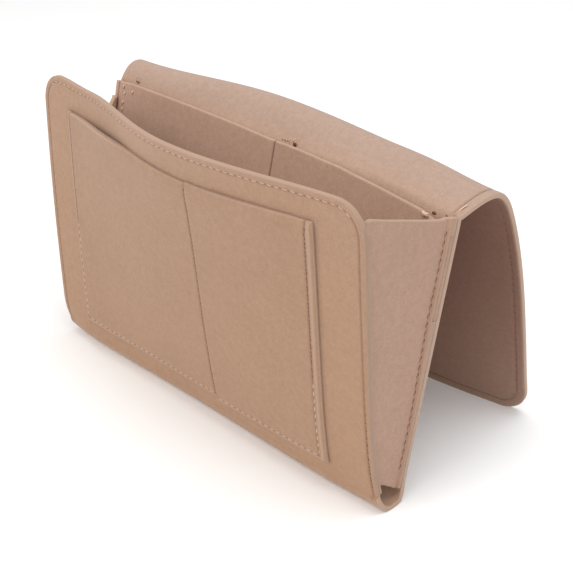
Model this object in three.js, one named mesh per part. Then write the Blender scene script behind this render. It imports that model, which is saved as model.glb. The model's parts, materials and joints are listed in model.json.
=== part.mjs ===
// Felt bedside caddy: one long felt sheet folded into a pocket body and a flap, two gussets
// sewn between the walls, a pocket sheet on the front and another inside on the back wall.
// Millimetres. X runs along the caddy, Y from the front to the back, Z up from the floor.
import * as THREE from 'three';

// Felt and seams
const felt = 3.5;
const seamGap = 0.35;
const hingeGap = 0.35;
const seamMargin = 4;

// Main sheet
const width = 320;
const frontHeight = 195;
const backHeightLeft = 180;
const backHeightRight = 173.5;
const foldRadius = 14.4;
const footDepth = 0.5;
const closingDegrees = 13;
const backLeanDegrees = 15;
const cornerRadius = 20;

// Front wall: how far its top edge stands out from the fold
const leanLeft = -7.5;
const leanRight = 7;
const hipRight = 3.7;
const hipPower = 8;
const bow = 14;
const flare = 6.2;
const flarePower = 8;
const bulgeCentreShare = 0.52;
const bulgeLeftReachShare = 0.46;
const bulgeRightReachShare = 0.47;
const bulgeLeftPower = 2.4;
const bulgeRightPower = 1.4;

// Bottom fold: its left end is drawn in and up, its right end stands out into a heel
const pinchReach = 45;
const pinchRise = 4.5;
const pinchIn = 3;
const pinchHeight = 20;
const heelReach = 60;
const heelSwell = 5.3;

// Front pocket sheet, sewn on three sides and along a divider
const pocketLeft = -126;
const pocketRight = 125;
const pocketDivider = 23.5;
const pocketTopLeft = 173;
const pocketTopRight = 177;
const pocketBottomLeft = 16.5;
const pocketBottomStep = 3;
const pocketBottomRight = 16.5;
const pocketPuffLeft = 5.6;
const pocketPuffRight = 5.2;
const swellRiseShare = 0.36;

// Inner pocket sheet on the back wall
const innerInset = 1;
const innerDivider = 10.5;
const innerDropLeft = 2;
const innerDropRight = 5;
const innerBottom = 108;
const innerPuff = 6;

// Gussets
const flangeWidth = 5.5;
const gussetBend = 3;
const gussetBottomFront = 0.5;
const gussetBottomBack = 2;
const gussetTopFront = 185;
const gussetTopBack = 165;
const gussetCorner = 7;
const gussetBowLeft = 13;
const gussetBowRight = 2;
const gussetSagLeft = 13;
const gussetSagRight = 2.5;
const gussetDip = 5;
const gussetStepHeight = 28;

// Flap: from the bend on the back wall over a crest to the crease, then down to the floor
const creaseLeft = { out: 89.5, up: 174 };
const creaseRight = { out: 108.5, up: 154.5 };
const hemLeft = 92;
const hemRight = 140;
const hemRise = 3.3;
const hemFoot = 34;
const crestShare = 0.46;
const bendDegrees = [60.5, 43.5, 12];
const creaseDegrees = [-86, -85.5, -69];
const hemDegrees = [-88, -84, -79];
const crestRunOut = [24, 33.5, 35];
const crestRunIn = [20, 39.5, 30.5];
const tailRunShare = 1 / 3;

// Fineness of the curved sheets
const cornerSteps = 5;
const wallStep = 16;
const wallRows = 16;
const wallRowPower = 1.4;
const pocketRows = 14;
const foldStep = 22;
const foldSteps = 5;
const rootRows = 14;
const tailRows = 12;
const beadSteps = 3;
const beadDegrees = 78;
const gussetBendSteps = 2;
const gussetWebSteps = 6;
const gussetLowRows = 4;
const gussetHighRows = 5;
const pathStepsPerRow = 4;
const normalStep = 0.35;

// Looks
const feltColour = 0xa98b74;
const gussetColour = 0xa98a7c;
const feltRoughness = 0.95;

const half = width / 2;
const foldMid = foldRadius - felt / 2;
const layer = felt + seamGap;
const backLean = THREE.MathUtils.degToRad(backLeanDegrees);
const closing = THREE.MathUtils.degToRad(closingDegrees);
const beadTurn = THREE.MathUtils.degToRad(beadDegrees);

const clampShare = (value) => Math.min(1, Math.max(0, value));
const mix = (a, b, share) => a + (b - a) * share;
const across = (x) => (x + half) / width;

// Eases between the left, crest and right values along the caddy.
function along([left, crest, right], x) {
  const share = across(x);
  if (share < crestShare) {
    return mix(left, crest, THREE.MathUtils.smoothstep(share / crestShare, 0, 1));
  }
  return mix(crest, right, THREE.MathUtils.smoothstep((share - crestShare) / (1 - crestShare), 0, 1));
}

function spread(from, to, steps) {
  return Array.from({ length: steps + 1 }, (_, i) => mix(from, to, i / steps));
}

// Shares of the front wall's height, closer together near its flared top.
const wallShares = spread(0, 1, wallRows).map((share) => 1 - (1 - share) ** wallRowPower);

// Runs through the given stops with even steps no longer than the wanted one.
function spreadThrough(stops, step) {
  const places = [stops[0]];
  for (let i = 1; i < stops.length; i += 1) {
    const steps = Math.max(1, Math.ceil((stops[i] - stops[i - 1]) / step));
    places.push(...spread(stops[i - 1], stops[i], steps).slice(1));
  }
  return places;
}

// Places along X that also follow the rounded corners at both ends.
function columnsWithCorners(stops) {
  const turn = spread(0, Math.PI / 2, cornerSteps).map((a) => half - cornerRadius * (1 - Math.sin(a)));
  const inner = spreadThrough([cornerRadius - half, ...stops, half - cornerRadius], wallStep);
  return [...turn.slice(1).reverse().map((x) => -x), ...inner, ...turn.slice(1)];
}

// How far a rounded corner cuts a sheet short at a place along X.
function cornerCut(x) {
  const past = Math.max(0, Math.abs(x) - (half - cornerRadius));
  return cornerRadius - Math.sqrt(Math.max(0, cornerRadius ** 2 - past ** 2));
}

// Closes a felt sheet around a grid of places. Each place has a point, the sheet's normal
// there and half its thickness.
function closedSheet(grid) {
  const rows = grid[0].length;
  const positions = [];
  const faces = [];
  const layerStart = grid.length * rows;
  const index = (i, j, side) => side * layerStart + i * rows + j;
  for (const side of [1, -1]) {
    for (const column of grid) {
      for (const place of column) {
        const corner = place.point.clone().addScaledVector(place.normal, side * place.half);
        positions.push(corner.x, corner.y, corner.z);
      }
    }
  }
  const quad = (a, b, c, d) => faces.push(a, b, c, a, c, d);
  for (let i = 0; i + 1 < grid.length; i += 1) {
    for (let j = 0; j + 1 < rows; j += 1) {
      quad(index(i, j, 0), index(i + 1, j, 0), index(i + 1, j + 1, 0), index(i, j + 1, 0));
      quad(index(i, j, 1), index(i, j + 1, 1), index(i + 1, j + 1, 1), index(i + 1, j, 1));
    }
    const last = rows - 1;
    quad(index(i, 0, 1), index(i + 1, 0, 1), index(i + 1, 0, 0), index(i, 0, 0));
    quad(index(i, last, 0), index(i + 1, last, 0), index(i + 1, last, 1), index(i, last, 1));
  }
  const end = grid.length - 1;
  for (let j = 0; j + 1 < rows; j += 1) {
    quad(index(0, j, 0), index(0, j + 1, 0), index(0, j + 1, 1), index(0, j, 1));
    quad(index(end, j, 1), index(end, j + 1, 1), index(end, j + 1, 0), index(end, j, 0));
  }
  const geometry = new THREE.BufferGeometry();
  geometry.setAttribute('position', new THREE.Float32BufferAttribute(positions, 3));
  geometry.setIndex(faces);
  return geometry;
}

// Normal of a surface in the plane across X, from a small step along its length.
function normalOf(surface, x, length, step = normalStep) {
  const onward = surface(x, length + step).sub(surface(x, length - step));
  return new THREE.Vector3(0, -onward.z, onward.y).normalize();
}

function sheetOn(surface, columns, lengthsAt, offsetAt = () => 0) {
  return closedSheet(columns.map((x) => lengthsAt(x).map((length) => {
    const normal = normalOf(surface, x, length);
    const point = surface(x, length).addScaledVector(normal, offsetAt(x, length));
    return { point, normal, half: felt / 2 };
  })));
}

// How much the fold's left end is drawn in at a place along X, from 0 to 1.
const pinch = (x) => clampShare((pinchReach - half - x) / pinchReach) ** 2;

// How far the front wall stands out from the fold, at a share of its height.
function frontOut(x, share) {
  const hip = hipRight * (1 - (1 - clampShare(share)) ** hipPower);
  const edge = mix(leanLeft * share ** 2, leanRight * share + hip, across(x));
  const onLeft = across(x) < bulgeCentreShare;
  const reachShare = onLeft ? bulgeLeftReachShare : bulgeRightReachShare;
  const away = clampShare(Math.abs(across(x) - bulgeCentreShare) / reachShare);
  const bell = Math.cos((away * Math.PI) / 2) ** (onLeft ? bulgeLeftPower : bulgeRightPower);
  const swell = bow * share + flare * share ** flarePower;
  const drawn = pinch(x) * pinchIn * clampShare(1 - (share * frontHeight) / pinchHeight) ** 2;
  return edge + bell * swell - drawn;
}

// Middle of the felt on the front wall. The wall keeps its length where it leans out.
const frontPaths = new Map();
function frontPath(x) {
  const key = x.toFixed(4);
  if (!frontPaths.has(key)) {
    const steps = wallRows * pathStepsPerRow;
    const rises = [0];
    for (let i = 0; i < steps; i += 1) {
      const run = frontOut(x, (i + 1) / steps) - frontOut(x, i / steps);
      rises.push(rises[i] + Math.sqrt((frontHeight / steps) ** 2 - run ** 2));
    }
    frontPaths.set(key, rises);
  }
  return frontPaths.get(key);
}
function frontWall(x, length) {
  const rises = frontPath(x);
  const place = (length / frontHeight) * (rises.length - 1);
  const low = Math.min(rises.length - 2, Math.max(0, Math.floor(place)));
  const rise = rises[low] + (rises[low + 1] - rises[low]) * (place - low);
  return new THREE.Vector3(x, -foldMid - frontOut(x, length / frontHeight), foldRadius + rise);
}

// Middle of the felt on the back wall, which is flat.
const backHeight = (x) => mix(backHeightLeft, backHeightRight, across(x));
function backWall(x, length) {
  const y = foldMid * Math.cos(backLean) + length * Math.sin(backLean);
  const z = foldRadius - foldMid * Math.sin(backLean) + length * Math.cos(backLean);
  return new THREE.Vector3(x, y, z);
}

// The front wall turns on a line along the top of the fold's front side.
function frontPanel() {
  const columns = columnsWithCorners([pocketLeft, pocketDivider, pocketRight]);
  return closedSheet(columns.map((x) => {
    const places = wallShares.map((share) => {
      const length = share * (frontHeight - cornerCut(x));
      return { point: frontWall(x, length), normal: normalOf(frontWall, x, length), half: felt / 2 };
    });
    return [...roundEdge(places[0], new THREE.Vector3(0, 0, 1)), ...places];
  }));
}

// Rows that round off a sheet's first edge, from its tip to just before the first place.
function roundEdge(start, onward) {
  return spread(0, beadTurn, beadSteps).slice(1).reverse().map((turn) => ({
    point: start.point.clone().addScaledVector(onward, (-felt / 2) * Math.sin(turn)),
    normal: start.normal,
    half: (felt / 2) * Math.cos(turn),
  }));
}

function backPanel() {
  const top = (x) => backHeight(x) - felt / 2 - hingeGap;
  return sheetOn(backWall, [-half, half], (x) => [0, top(x)]);
}

// How far the back of the fold stands out at a place along X, beside its right end.
function heel(x, turn) {
  const share = clampShare((turn - 1.5 * Math.PI) / (Math.PI / 2 - backLean));
  const rise = THREE.MathUtils.smoothstep(x, half - heelReach, half);
  return turn < 1.5 * Math.PI ? 0 : heelSwell * rise * (1 - share ** 2) ** 2;
}

// The narrow bottom, bent round from the front wall to the back wall. It stands on a flat.
function bottomFold() {
  const columns = spreadThrough([-half, pinchReach - half, half - heelReach, half], foldStep);
  const foot = Math.acos(1 - footDepth / foldRadius);
  const place = (x, turn) => {
    const low = clampShare((-Math.sin(turn) - Math.sin(backLean)) / (1 - Math.sin(backLean)));
    const depth = foldMid - pinchRise * pinch(x) * low;
    const inward = turn < 1.5 * Math.PI ? pinchIn * pinch(x) : 0;
    const y = (foldMid - inward) * Math.cos(turn) + heel(x, turn);
    return new THREE.Vector3(x, y, foldRadius + depth * Math.sin(turn));
  };
  const turnsAt = (x) => {
    const room = felt / 2 + hingeGap + pinchIn * pinch(x) * Math.sin(closing);
    const start = Math.PI + room / foldMid;
    const stop = 2 * Math.PI - backLean - seamGap / foldMid;
    return [
      ...spread(start, 1.5 * Math.PI - foot, foldSteps),
      ...spread(1.5 * Math.PI + foot, stop, foldSteps),
    ];
  };
  const fine = seamGap / foldRadius;
  return closedSheet(columns.map((x) => turnsAt(x).map((turn) => (
    { point: place(x, turn), normal: normalOf(place, x, turn, fine), half: felt / 2 }
  ))));
}

// Swell of a pocket between its seams: 0 at a seam, and 1 along the middle of its mouth.
function cellSwell(x, seams, share) {
  const cell = seams.findIndex((seam, i) => i > 0 && x <= seam);
  if (cell < 1 || x <= seams[0]) {
    return 0;
  }
  const place = (x - seams[cell - 1]) / (seams[cell] - seams[cell - 1]);
  const rise = THREE.MathUtils.smoothstep(Math.min(place, 1 - place), 0, swellRiseShare);
  return rise * Math.sin((Math.PI / 2) * clampShare(share));
}

function frontPocket() {
  const seams = [pocketLeft + seamMargin, pocketDivider, pocketRight - seamMargin];
  const top = (x) => mix(pocketTopLeft, pocketTopRight, (x - pocketLeft) / (pocketRight - pocketLeft));
  const bottom = (x) => {
    const share = clampShare((x - pocketDivider) / (pocketRight - pocketDivider));
    const stepped = pocketBottomLeft - pocketBottomStep;
    return x < pocketDivider ? pocketBottomLeft : mix(stepped, pocketBottomRight, share);
  };
  const columns = spreadThrough([pocketLeft, seams[0], pocketDivider - felt / 2], wallStep);
  columns.push(...spreadThrough([pocketDivider, seams[2], pocketRight], wallStep));
  const offset = (x, length) => {
    const share = (length - bottom(x) - seamMargin) / (top(x) - bottom(x) - seamMargin);
    const puff = x < pocketDivider ? pocketPuffLeft : pocketPuffRight;
    return layer + puff * cellSwell(x, seams, share);
  };
  return sheetOn(frontWall, columns, (x) => spread(bottom(x), top(x), pocketRows), offset);
}

function innerPocket() {
  const seams = [innerInset + seamMargin - half, innerDivider, half - seamMargin];
  const top = (x) => backHeight(x) - mix(innerDropLeft, innerDropRight, across(x));
  const offset = (x, length) => {
    const share = (length - innerBottom - seamMargin) / (top(x) - innerBottom - seamMargin);
    return layer + innerPuff * cellSwell(x, seams, share);
  };
  const columns = spreadThrough([innerInset - half, ...seams, half], wallStep);
  return sheetOn(backWall, columns, (x) => spread(innerBottom, top(x), pocketRows), offset);
}

// One gusset: a flange on the front wall, a web and a flange on the back wall's layers. Its
// plan is followed from the front flange's edge to the back flange's edge.
function gusset(side) {
  const webX = half - flangeWidth + felt / 2;
  const bendX = webX + gussetBend;
  const bend = spread(0, Math.PI / 2, gussetBendSteps).map((turn) => (
    { x: bendX - gussetBend * Math.sin(turn), off: gussetBend * (1 - Math.cos(turn)) }
  ));
  const flange = [{ x: half, off: 0 }, ...bend];
  const stations = [
    ...flange.map((place) => ({ ...place, share: 0 })),
    ...spread(0, 1, gussetWebSteps).slice(1, -1).map((share) => ({ x: webX, off: gussetBend, share })),
    ...flange.map((place) => ({ ...place, share: 1 })).reverse(),
  ];
  const bow = side < 0 ? gussetBowLeft : gussetBowRight;
  return closedSheet(withNormals(stations.map((station) => gussetHeights(side, station).map((z) => {
    const front = frontWallAt(side * station.x, z) + layer + station.off;
    const back = gussetBackAt(side * station.x, z) - station.off;
    const high = clampShare((z - foldRadius) / gussetTopFront);
    const inward = bow * high * Math.sin(Math.PI * station.share) ** 2;
    return new THREE.Vector3(side * (station.x - inward), mix(front, back, station.share), z);
  }))));
}

// Heights of the rows at one station of a gusset, with the flange's outer corner cut off.
function gussetHeights(side, { x, share }) {
  const sag = side < 0 ? gussetSagLeft : gussetSagRight;
  const slack = Math.sqrt(Math.sin(Math.PI * share));
  const top = foldRadius + mix(gussetTopFront, gussetTopBack, share) - sag * slack;
  const toEdge = clampShare((x - (half - flangeWidth)) / flangeWidth);
  const cut = share === 0 ? gussetCorner * toEdge ** 2 : 0;
  const bottom = foldRadius + mix(gussetBottomFront, gussetBottomBack, share) - gussetDip * slack;
  return [
    ...spread(bottom, gussetStepTop - gussetStepHeight, gussetLowRows),
    ...spread(gussetStepTop, top - cut, gussetHighRows),
  ];
}

// Height at which a gusset's back flange has come out over the inner pocket's bottom edge.
const gussetStepTop = backWall(0, innerBottom).z - felt / 2;

const frontWallAt = (x, z) => -foldMid - frontOut(x, (z - foldRadius) / frontHeight);

// Middle of a gusset's back flange, which steps forward over the inner pocket's bottom edge.
function gussetBackAt(x, z) {
  const length = (z - foldRadius + foldMid * Math.sin(backLean)) / Math.cos(backLean);
  const layers = 1 + clampShare((z - gussetStepTop) / gussetStepHeight + 1);
  return backWall(x, length).y - (layers * layer) / Math.cos(backLean);
}

// Gives each point of a grid the normal of the surface through its neighbours.
function withNormals(points) {
  const end = points.length - 1;
  return points.map((column, i) => column.map((point, j) => {
    const before = points[Math.max(0, i - 1)][j];
    const after = points[Math.min(end, i + 1)][j];
    const below = column[Math.max(0, j - 1)];
    const above = column[Math.min(column.length - 1, j + 1)];
    const normal = after.clone().sub(before).cross(above.clone().sub(below));
    if (i === 0 || i === end) {
      normal.setX(0);
    }
    return { point, normal: normal.normalize(), half: felt / 2 };
  }));
}

// Straight lines across the flap: the bend on the back wall, the crease and the hem.
const bendLine = (x) => backWall(x, backHeight(x));
function creaseLine(x) {
  const share = across(x);
  return new THREE.Vector3(
    x, mix(creaseLeft.out, creaseRight.out, share), mix(creaseLeft.up, creaseRight.up, share),
  );
}
function heading(degrees) {
  const angle = THREE.MathUtils.degToRad(degrees);
  return new THREE.Vector3(0, Math.cos(angle), Math.sin(angle));
}
function hemLine(x) {
  const arch = clampShare(1 - (x / (half - hemFoot)) ** 2) ** 2;
  return new THREE.Vector3(x, mix(hemLeft, hemRight, across(x)), footDepth + hemRise * arch);
}

function crestCurve(x) {
  const from = bendLine(x);
  const to = creaseLine(x);
  return new THREE.CubicBezierCurve3(
    from,
    from.clone().addScaledVector(heading(along(bendDegrees, x)), along(crestRunOut, x)),
    to.clone().addScaledVector(heading(along(creaseDegrees, x)), -along(crestRunIn, x)),
    to,
  );
}
function tailCurve(x) {
  const from = creaseLine(x);
  const to = hemLine(x);
  const run = from.distanceTo(to) * tailRunShare;
  return new THREE.CubicBezierCurve3(
    from,
    from.clone().addScaledVector(heading(along(creaseDegrees, x)), run),
    to.clone().addScaledVector(heading(along(hemDegrees, x)), -run),
    to,
  );
}

// Places of a strip of the flap along its curves, from a round edge on its first line.
function flapStrip(curveAt, columns, rows, endShareAt) {
  return columns.map((x) => {
    const curve = curveAt(x);
    const placeAt = (share) => {
      const tangent = curve.getTangent(share);
      const normal = new THREE.Vector3(0, -tangent.z, tangent.y).normalize();
      return { point: curve.getPoint(share), normal, half: felt / 2 };
    };
    const bead = roundEdge(placeAt(0), curve.getTangent(0));
    const places = spread(0, endShareAt(x, curve), rows).map(placeAt);
    return [...bead, ...places];
  });
}

function flapRoot() {
  const columns = spreadThrough([-half, half], wallStep);
  const endShare = (x) => 1 - (felt / 2 + hingeGap) / (3 * along(crestRunIn, x));
  return closedSheet(flapStrip(crestCurve, columns, rootRows, endShare));
}

// The hem is cut level where it stands on the floor.
function flapTail() {
  const columns = columnsWithCorners([hemFoot - half, half - hemFoot]);
  const endShare = (x, curve) => 1 - cornerCut(x) / curve.getLength();
  const grid = flapStrip(tailCurve, columns, tailRows, endShare);
  grid.forEach((column) => column.at(-1).normal.set(0, 1, 0));
  return closedSheet(grid);
}

function piece(name, geometry, color) {
  const material = new THREE.MeshStandardMaterial({ color, roughness: feltRoughness, metalness: 0 });
  material.name = `${name}_felt`;
  const mesh = new THREE.Mesh(geometry, material);
  mesh.name = name;
  return mesh;
}

const caddy = new THREE.Group();
caddy.name = 'felt_bedside_caddy';
caddy.add(
  piece('front_panel', frontPanel(), feltColour),
  piece('bottom_fold', bottomFold(), feltColour),
  piece('back_panel', backPanel(), feltColour),
  piece('front_pocket', frontPocket(), feltColour),
  piece('inner_pocket', innerPocket(), feltColour),
  piece('gusset_left', gusset(-1), gussetColour),
  piece('gusset_right', gusset(1), gussetColour),
  piece('flap_root', flapRoot(), feltColour),
  piece('flap_tail', flapTail(), feltColour),
);

// The origin lies under the middle of the whole, on the floor.
const box = new THREE.Box3().setFromObject(caddy);
const middle = box.getCenter(new THREE.Vector3());
caddy.position.set(-middle.x, -middle.y, -box.min.z);

export default caddy;
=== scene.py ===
"""Looks of the felt bedside caddy: felt sheets, cut edges, seams with threads, camera and light.

Shapes are worked out in millimetres, with Y from the front to the back and Z up, then moved
into the shared frame. Each sheet is a grid of places with a normal and a thickness.
"""

import json
import math

import bpy
import numpy as np
from mathutils import Matrix, Vector


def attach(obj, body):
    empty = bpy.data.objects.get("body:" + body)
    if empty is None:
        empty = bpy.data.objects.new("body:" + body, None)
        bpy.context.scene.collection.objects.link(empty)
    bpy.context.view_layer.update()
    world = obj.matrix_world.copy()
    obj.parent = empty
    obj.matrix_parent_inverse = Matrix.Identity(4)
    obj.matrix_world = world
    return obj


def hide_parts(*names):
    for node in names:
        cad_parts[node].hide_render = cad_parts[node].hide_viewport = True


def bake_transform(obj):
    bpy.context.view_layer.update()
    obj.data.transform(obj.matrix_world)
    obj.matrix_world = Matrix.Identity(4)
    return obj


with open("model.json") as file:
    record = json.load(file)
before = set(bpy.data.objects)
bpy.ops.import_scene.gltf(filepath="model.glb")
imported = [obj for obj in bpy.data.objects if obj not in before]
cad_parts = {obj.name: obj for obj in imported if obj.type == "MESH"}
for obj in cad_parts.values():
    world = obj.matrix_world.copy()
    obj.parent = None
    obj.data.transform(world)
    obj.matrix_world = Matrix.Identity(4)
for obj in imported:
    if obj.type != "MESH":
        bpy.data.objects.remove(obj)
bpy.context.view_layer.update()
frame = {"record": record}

# Main sizes
FELT = 3.5
WIDTH = 320.0
HALF = WIDTH / 2
FRONT_HEIGHT = 195.0
BACK_LEFT, BACK_RIGHT = 180.0, 173.5
FOLD_RADIUS = 14.4
FOLD_MID = FOLD_RADIUS - FELT / 2
LEAN = math.radians(15)
CORNER_LEFT, CORNER_RIGHT = 21.0, 20.0
FOOT = 0.5
POCKET_LEFT, POCKET_RIGHT, POCKET_DIVIDER = -126.7, 124.5, 23.5
INNER_LEFT, INNER_RIGHT, INNER_DIVIDER, INNER_BOTTOM = -160.2, 159.8, 10.5, 108.0
CREST_SHARE = 0.46
FLANGE = 5.5
WEB_X = HALF - FLANGE + FELT / 2
BEND = 1.9

hinge = frame["record"]["behaviour"]["joints"][0]["pos_m"]
SHIFT = np.array([0.0, hinge[1] * 1000 + FOLD_MID, hinge[2] * 1000 - FOLD_RADIUS])
rng = np.random.default_rng(7)


def row(points):
    """Millimetres of the shape functions to metres of the shared frame."""
    return (np.asarray(points, float) + SHIFT) * 0.001


def unit(v):
    return v / np.linalg.norm(v, axis=-1, keepdims=True)


def mix(a, b, share):
    return a + (b - a) * share


def clip(v):
    return np.clip(v, 0.0, 1.0)


def smooth(v, a=0.0, b=1.0):
    t = clip((v - a) / (b - a))
    return t * t * (3 - 2 * t)


def hump(v, reach, middle=0.0):
    """A bell of height 1 at its middle, which is down to 0.37 at its reach."""
    return np.exp(-(((v - middle) / reach) ** 2))


def across(x):
    """Share of the width, from 0 at the left to 1 at the right."""
    return (x + HALF) / WIDTH


def along(values, x):
    """A number that has its own size at the left, at the crest and at the right."""
    left, crest, right = values
    u = across(x)
    low = mix(left, crest, smooth(u / CREST_SHARE))
    high = mix(crest, right, smooth((u - CREST_SHARE) / (1 - CREST_SHARE)))
    return np.where(u < CREST_SHARE, low, high)


def spread_out(x, along_it):
    """Two inputs as arrays of numbers of one shape."""
    return np.broadcast_arrays(np.asarray(x, float), np.asarray(along_it, float))


def xyz(x, y, z):
    return np.stack(np.broadcast_arrays(x, y, z), axis=-1)


# Front wall: how far it stands out, and its height along its own length
EDGE_IN_LEFT, EDGE_OUT_RIGHT, HIP = 7.5, 7.0, 3.7
SWELL, FLARE, STEEP = 14.0, 6.2, 8
BELL_MIDDLE = 0.52
PINCH, HEEL, PROUD, FOLD_LIFT = 3.0, 2.6, 2.0, 4.5


def pinch(x):
    """Share by which the left end of the fold is drawn in."""
    return clip((45 - HALF - x) / 45) ** 2


def tuck(x):
    """How far the wall is drawn back just above the fold."""
    return 1.3 * hump(x, 65, -15) + 2.6 * smooth(x, 105, HALF)


def front_out(x, share):
    u = across(x)
    hip = HIP * (1 - (1 - clip(share)) ** STEEP)
    edge = mix(-EDGE_IN_LEFT * share**2, EDGE_OUT_RIGHT * share + hip, u)
    on_left = u < BELL_MIDDLE
    away = clip(np.abs(u - BELL_MIDDLE) / np.where(on_left, 0.46, 0.47))
    bell = np.maximum(np.cos(away * np.pi / 2), 0) ** np.where(on_left, 2.4, 1.4)
    swell = SWELL * share + FLARE * share**STEEP
    height = share * FRONT_HEIGHT
    drawn = PINCH * pinch(x) * clip(1 - height / 20) ** 2 + tuck(x) * clip(1 - height / 80) ** 2
    return edge + bell * swell - drawn


STEPS = 128
_xs = np.linspace(-HALF, HALF, 161)
_share = np.linspace(0, 1, STEPS + 1)
_run = np.diff(front_out(_xs[:, None], _share[None, :]), axis=1)
_rise = np.sqrt((FRONT_HEIGHT / STEPS) ** 2 - _run**2)
_rises = np.concatenate([np.zeros((len(_xs), 1)), np.cumsum(_rise, axis=1)], axis=1)


def front_wall(x, length):
    x, length = spread_out(x, length)
    i = np.clip(across(x) * (len(_xs) - 1), 0, len(_xs) - 1.0001)
    k = length / FRONT_HEIGHT * STEPS
    i0, k0 = np.floor(i).astype(int), np.clip(np.floor(k), 0, STEPS - 1).astype(int)
    fi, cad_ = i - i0, k - k0
    a = _rises[i0, k0] * (1 - fi) + _rises[i0 + 1, k0] * fi
    b = _rises[i0, k0 + 1] * (1 - fi) + _rises[i0 + 1, k0 + 1] * fi
    return xyz(x, -FOLD_MID - front_out(x, length / FRONT_HEIGHT), FOLD_RADIUS + mix(a, b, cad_))


def back_height(x):
    return mix(BACK_LEFT, BACK_RIGHT, across(x)) - 4 * smooth(x, 90, HALF)


def back_wall(x, length):
    y = FOLD_MID * math.cos(LEAN) + length * math.sin(LEAN)
    z = FOLD_RADIUS - FOLD_MID * math.sin(LEAN) + length * math.cos(LEAN)
    return xyz(x, y, z)


def fold(x, turn):
    """The bottom, from pi on the front side to 2 pi less the lean on the back side."""
    low = clip((-np.sin(turn) - math.sin(LEAN)) / (1 - math.sin(LEAN)))
    depth = FOLD_MID - FOLD_LIFT * pinch(x) * low
    bottom = 1.5 * np.pi
    inward = np.where(turn < bottom, PINCH * pinch(x) + tuck(x), 0)
    share = clip((turn - bottom) / (np.pi / 2 - LEAN))
    heel = HEEL * smooth(x, HALF - 60, HALF) * (1 - share**2) ** 2
    heel = heel * smooth(turn, bottom, bottom + 0.25)
    z = FOLD_RADIUS + depth * np.sin(turn)
    proud = PROUD * smooth(x, HALF - 9, HALF) * np.maximum(-np.sin(turn), 0) ** 1.5
    return xyz(x + proud, (FOLD_MID - inward) * np.cos(turn) + heel, z)


def heading(degrees):
    a = np.radians(degrees)
    return xyz(0.0 * a, np.cos(a), np.sin(a))


def bezier(p0, p1, p2, p3, t):
    t = t[..., None]
    s = 1 - t
    return p0 * s**3 + 3 * p1 * s * s * t + 3 * p2 * s * t * t + p3 * t**3


# Flap, each from left to right, or at its left, crest and right: places of its crease and hem,
# the directions in which it leaves the wall, meets the crease and ends, and how far it pulls
CREASE_OUT, CREASE_UP, HEM_OUT, HEM_ARCH = (89.5, 108.5), (174.0, 154.5), (92.0, 140.0), 3.3
LEAVE_DEGREES, CREASE_DEGREES, HEM_DEGREES = (60.5, 43.5, 12), (-86, -85.5, -69), (-88, -84, -79)
LEAVE_PULL, CREASE_PULL = (24, 33.5, 35), (20, 39.5, 30.5)


def crease_line(x):
    u = across(x)
    return xyz(x, mix(*CREASE_OUT, u), mix(*CREASE_UP, u))


def hem_line(x):
    arch = clip(1 - (x / (HALF - 34)) ** 2) ** 2
    return xyz(x, mix(*HEM_OUT, across(x)), FOOT + HEM_ARCH * arch)


def spread(x):
    """The flap's right edge stands out a little past the wall."""
    return 0.6 * smooth(x, 146, HALF)


def crest(x, t):
    """The flap's bend, from the back wall at t = 0 to the crease at t = 1."""
    x, t = spread_out(x, t)
    a, b = back_wall(x, back_height(x)), crease_line(x)
    out = heading(along(LEAVE_DEGREES, x)) * along(LEAVE_PULL, x)[..., None]
    into = heading(along(CREASE_DEGREES, x)) * along(CREASE_PULL, x)[..., None]
    lift = 1.8 * hump(x, 32, 114) * np.sin(np.pi * t)
    return bezier(a, a + out, b - into, b, t) + xyz(spread(x) * smooth(t, 0, 0.4), 0, lift)


def tail(x, t):
    """The flap's hanging end, from the crease at t = 0 to the hem at t = 1."""
    x, t = spread_out(x, t)
    a, b = crease_line(x), hem_line(x)
    run = np.linalg.norm(b - a, axis=-1)[..., None] / 3
    out = heading(along(CREASE_DEGREES, x)) * run
    into = heading(along(HEM_DEGREES, x)) * run
    return bezier(a, a + out, b - into, b, t) + xyz(spread(x), 0, 0)


def lengths_of(curve, x, n=96):
    """Length of a curve at each x, and the table that turns a length into its parameter."""
    t = np.linspace(0, 1, n + 1)
    p = curve(np.asarray(x, float)[:, None], t[None, :])
    steps = np.linalg.norm(np.diff(p, axis=1), axis=-1)
    return np.concatenate([np.zeros((len(x), 1)), np.cumsum(steps, axis=1)], axis=1), t


def share_at(curve, x, length):
    """The parameter at a length along the curve, for flat arrays of x and length."""
    x, length = np.atleast_1d(x).astype(float), np.atleast_1d(length).astype(float)
    table, t = lengths_of(curve, x)
    return np.array([np.interp(v, r, t) for v, r in zip(length, table)])


def tail_length(x):
    return lengths_of(tail, np.atleast_1d(x))[0][:, -1]


def rim_length(x):
    """Length of the front wall along the felt, up to its uncut rim, which dips a little."""
    return FRONT_HEIGHT - 1.4 * hump(x, 20, -110)


def corner_cut(x):
    """How much shorter the sheet is where its end is rounded at the corners."""
    radius = np.where(x > 0, CORNER_RIGHT, CORNER_LEFT)
    past = np.maximum(0, np.abs(x) - (HALF - radius))
    return radius - np.sqrt(np.maximum(0, radius**2 - past**2))


# Front pocket outline: lengths along the front wall at its top and its bottom edge
TOP_X = [-126.7, -113, -84, -53, -25, -2, 18, 23.4, 23.6, 37, 54, 70, 86, 101, 115, 125]
TOP_L = [174, 173.6, 173.4, 174.2, 173.6, 173.2, 172.9, 172.8, 173.7, 173.8, 174.5, 174.9]
TOP_L += [175.5, 176, 176.4, 176.8]
LOW_X = [-126.7, -96, -59, -12, 23.4, 23.6, 28, 68, 96, 117, 125]
LOW_L = [11.6, 11.2, 12.0, 12.2, 12.6, 9.8, 9.6, 10.4, 10.8, 11.4, 11.2]


def pocket_top(x):
    return np.interp(x, TOP_X, TOP_L)


def pocket_low(x):
    return np.interp(x, LOW_X, LOW_L)


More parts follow.
